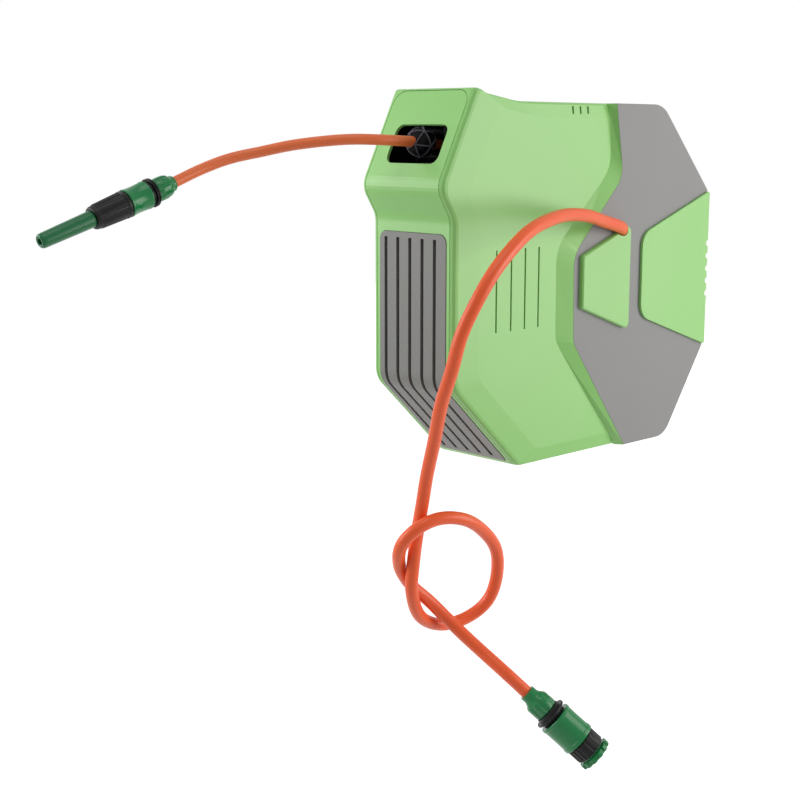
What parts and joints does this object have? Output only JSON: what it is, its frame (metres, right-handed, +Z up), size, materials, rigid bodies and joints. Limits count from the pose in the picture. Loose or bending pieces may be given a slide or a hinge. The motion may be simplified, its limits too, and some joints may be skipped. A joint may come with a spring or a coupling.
{
  "type": "retractable hose reel",
  "caption": "Wall mounted retractable garden hose reel in a flat angular case, with guide rollers, a hand nozzle and a knotted lead hose with a tap connector.",
  "frame": {"origin": "centre of the wall bracket's back face", "axes": "+X along the drum axis, -Y out from the wall towards the hose window, +Z up"},
  "size_m": [0.2852, 0.7584, 0.6121],
  "materials": {
    "case_green": "moulded, satin",
    "case_grey": "moulded, matte",
    "black_plastic": "moulded, satin",
    "fitting_green": "moulded, semi gloss",
    "hose_orange": "smooth",
    "lead_orange": "smooth",
    "black_rubber": "matte",
    "steel": "zinc plated",
    "bracket_paint": "powder coated",
    "brass": "turned"
  },
  "bodies": {
    "bracket": {"wall_bracket": "bracket_paint", "pivot_pin": "steel", "pin_clip": "steel"},
    "case": {"left_shell": "case_green", "right_shell": "case_green", "front_cover": "case_green", "front_grille": "case_grey", "grille_screen": "black_plastic", "left_panel": "case_grey", "right_panel": "case_grey", "left_hub_cap": "case_green", "right_hub_cap": "case_green", "left_rear_cover": "case_green", "right_rear_cover": "case_green", "swivel_mount": "black_plastic", "case_screws": "steel", "roller_frame": "black_plastic", "roller_pins": "steel", "main_axle": "steel", "inlet_elbow": "black_plastic", "hub_seals": "black_rubber", "pawl_pin": "steel", "pawl_spring": "steel", "main_hose": "hose_orange", "hose_stop": "black_rubber", "hose_nut": "fitting_green", "connector_core": "black_plastic", "lead_hose": "lead_orange", "tap_nut": "fitting_green", "tap_core": "black_plastic", "tap_adaptor": "black_plastic", "tap_end_ring": "fitting_green"},
    "drum": {"drum_core": "black_plastic", "left_flange": "black_plastic", "right_flange": "black_plastic", "drum_screws": "steel", "ratchet_ring": "steel", "spring_can": "steel", "spring_cover": "steel", "power_spring": "steel", "swivel_hub": "black_plastic", "outlet_barb": "brass", "hose_clamp": "steel", "wound_hose": "hose_orange"},
    "pawl": {"pawl": "steel"},
    "top_roller": {"top_roller": "black_plastic"},
    "bottom_roller": {"bottom_roller": "black_plastic"},
    "left_roller": {"left_roller": "black_plastic"},
    "right_roller": {"right_roller": "black_plastic"},
    "nozzle": {"nozzle_grip": "black_plastic", "nozzle_barrel": "fitting_green"},
    "hose_sleeve": {"connector_sleeve": "fitting_green"},
    "tap_sleeve": {"tap_sleeve": "fitting_green"}
  },
  "joints": [
    {"name": "case_swivel", "type": "hinge", "parent": "bracket", "child": "case", "pos_m": [0, -0.05, 0], "axis": [0, 0, 1], "range_deg": [-50, 50]},
    {"name": "drum_spin", "type": "hinge", "parent": "case", "child": "drum", "pos_m": [0, -0.234, 0], "axis": [1, 0, 0], "continuous": true},
    {"name": "pawl_swing", "type": "hinge", "parent": "case", "child": "pawl", "pos_m": [-0.046, -0.204, 0.072], "axis": [1, 0, 0], "range_deg": [-6, 7]},
    {"name": "top_roller_spin", "type": "hinge", "parent": "case", "child": "top_roller", "pos_m": [0, -0.405, 0.14125], "axis": [1, 0, 0], "continuous": true},
    {"name": "bottom_roller_spin", "type": "hinge", "parent": "case", "child": "bottom_roller", "pos_m": [0, -0.405, 0.11975], "axis": [1, 0, 0], "continuous": true},
    {"name": "left_roller_spin", "type": "hinge", "parent": "case", "child": "left_roller", "pos_m": [-0.01075, -0.392, 0.1305], "axis": [0, 0, 1], "continuous": true},
    {"name": "right_roller_spin", "type": "hinge", "parent": "case", "child": "right_roller", "pos_m": [0.01075, -0.392, 0.1305], "axis": [0, 0, 1], "continuous": true},
    {"name": "nozzle_twist", "type": "hinge", "parent": "case", "child": "nozzle", "pos_m": [-0.0945, -0.6275, 0.0985], "axis": [0, -0.9494, -0.314], "range_deg": [0, 270]},
    {"name": "hose_sleeve_slide", "type": "slide", "parent": "case", "child": "hose_sleeve", "axis": [0, -0.9494, -0.314], "range_m": [-0.003, 0]},
    {"name": "tap_sleeve_slide", "type": "slide", "parent": "case", "child": "tap_sleeve", "axis": [0.601, 0.4508, -0.66], "range_m": [-0.003, 0]}
  ]
}
